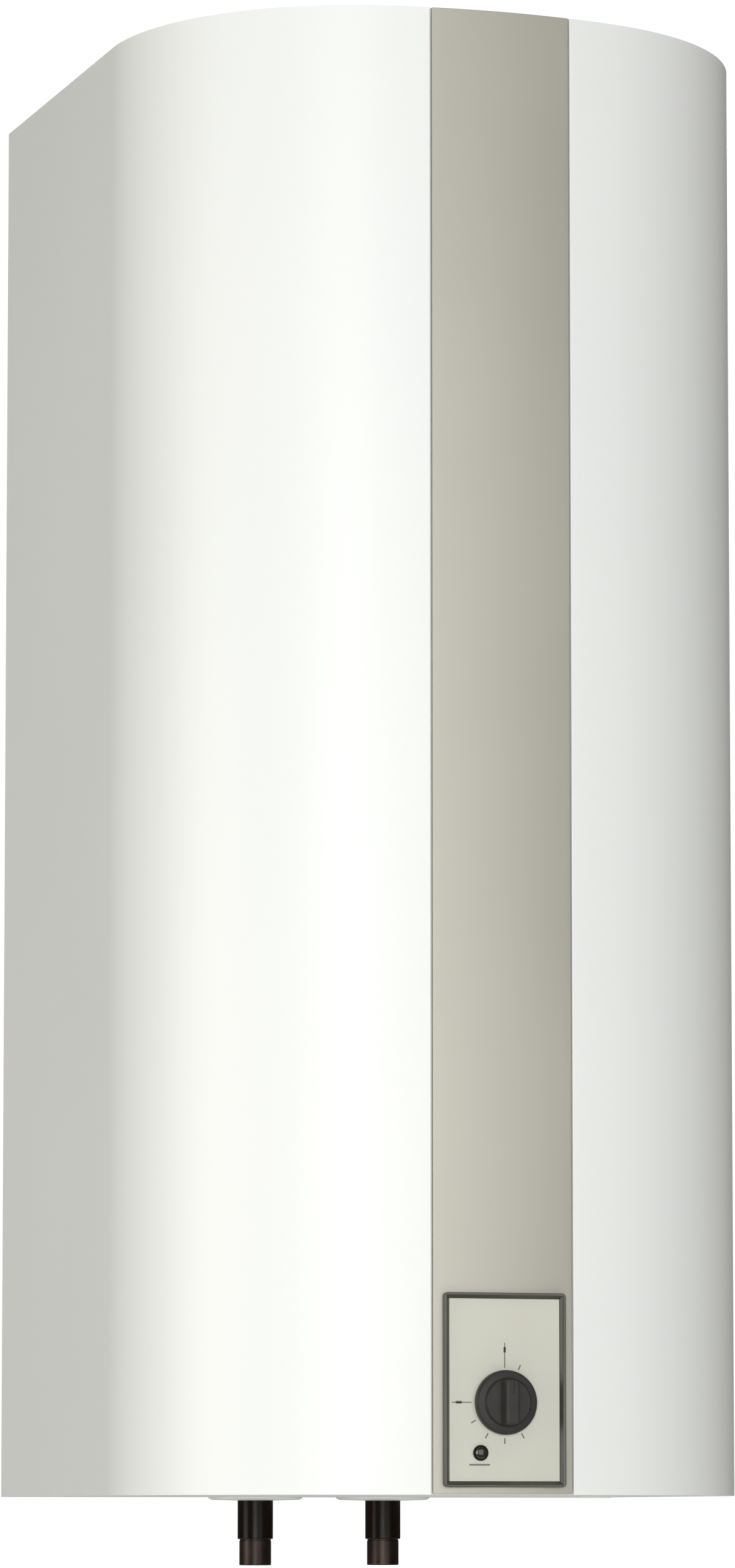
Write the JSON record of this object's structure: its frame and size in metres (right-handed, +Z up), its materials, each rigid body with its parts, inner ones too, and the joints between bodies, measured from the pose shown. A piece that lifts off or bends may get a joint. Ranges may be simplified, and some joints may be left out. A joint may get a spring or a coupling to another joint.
{
  "type": "electric storage water heater",
  "caption": "Wall-hung upright electric water heater with a bowed white jacket, grey front strip, thermostat knob and two pipe stubs below.",
  "frame": {"origin": "midway between the two wall screw slots of the rail, on the wall plane", "axes": "+Z up, +Y into the wall, so the front faces -Y, and +X to the right of someone facing the heater"},
  "size_m": [0.426, 0.4589, 1.0084],
  "materials": {
    "white_enamel": "satin",
    "grey_trim": "satin",
    "dark_bezel": "matte",
    "panel_face": "satin",
    "knob_plastic": "matte",
    "black_plastic": "satin",
    "lamp_smoke": "gloss",
    "white_plastic": "satin",
    "pale_thermoset": "satin",
    "red_plastic": "satin",
    "rubber": "matte",
    "galvanised": "satin",
    "tank_enamel": "gloss",
    "black_steel": "matte",
    "bright_steel": "satin",
    "yellow_zinc": "satin",
    "aged_pipe": "matte",
    "copper": "satin",
    "anode_metal": "matte",
    "foam": "matte",
    "lead_brown": "satin",
    "lead_black": "satin",
    "lead_blue": "satin",
    "lead_earth": "satin"
  },
  "bodies": {
    "heater": {"jacket": "white_enamel", "top_cover": "white_enamel", "bottom_cover": "white_enamel", "front_strip": "grey_trim", "control_bezel": "dark_bezel", "control_panel": "panel_face", "lamp_body": "black_plastic", "cold_sleeve": "black_plastic", "hot_sleeve": "black_plastic", "lamp_lens": "lamp_smoke", "foam_plug": "white_plastic", "cold_rosette": "white_plastic", "hot_rosette": "white_plastic", "cold_diffuser": "white_plastic", "cable_grommet": "white_plastic", "thermostat_body": "pale_thermoset", "safety_cutout": "pale_thermoset", "terminal_block": "pale_thermoset", "terminal_beads": "pale_thermoset", "flange_gasket": "rubber", "back_panel": "galvanised", "wall_rail": "galvanised", "control_bracket": "galvanised", "tank_shell": "tank_enamel", "tank_top_dome": "tank_enamel", "tank_bottom_dome": "tank_enamel", "heater_neck": "tank_enamel", "pipe_bosses": "tank_enamel", "hanger_arms": "black_steel", "heater_flange": "bright_steel", "sensor_well": "bright_steel", "heating_hairpins": "bright_steel", "thermostat_screws": "bright_steel", "cutout_screws": "bright_steel", "terminal_screws": "bright_steel", "top_cover_screws": "bright_steel", "bottom_cover_screws": "bright_steel", "flange_bolts": "yellow_zinc", "anode_nut": "yellow_zinc", "earth_stud": "yellow_zinc", "cold_inlet_pipe": "aged_pipe", "hot_outlet_pipe": "aged_pipe", "inner_link": "copper", "outer_link": "copper", "thermostat_bulb": "copper", "cutout_bulb": "copper", "thermostat_capillary": "copper", "cutout_capillary": "copper", "anode_rod": "anode_metal", "foam_front": "foam", "foam_rear": "foam", "supply_lead": "lead_brown", "link_lead": "lead_black", "heat_lead": "lead_black", "neutral_lead": "lead_blue", "earth_lead": "lead_earth"},
    "knob": {"thermostat_knob": "knob_plastic", "thermostat_spindle": "bright_steel"},
    "reset": {"reset_button": "red_plastic"}
  },
  "joints": [
    {"name": "knob_turn", "type": "hinge", "parent": "heater", "child": "knob", "pos_m": [0, -0.45, -0.8015], "axis": [0, 1, 0], "range_deg": [-135, 135]},
    {"name": "reset_press", "type": "slide", "parent": "heater", "child": "reset", "axis": [0, 1, 0], "range_m": [0, 0.002], "stiffness_N_per_m": 400}
  ]
}
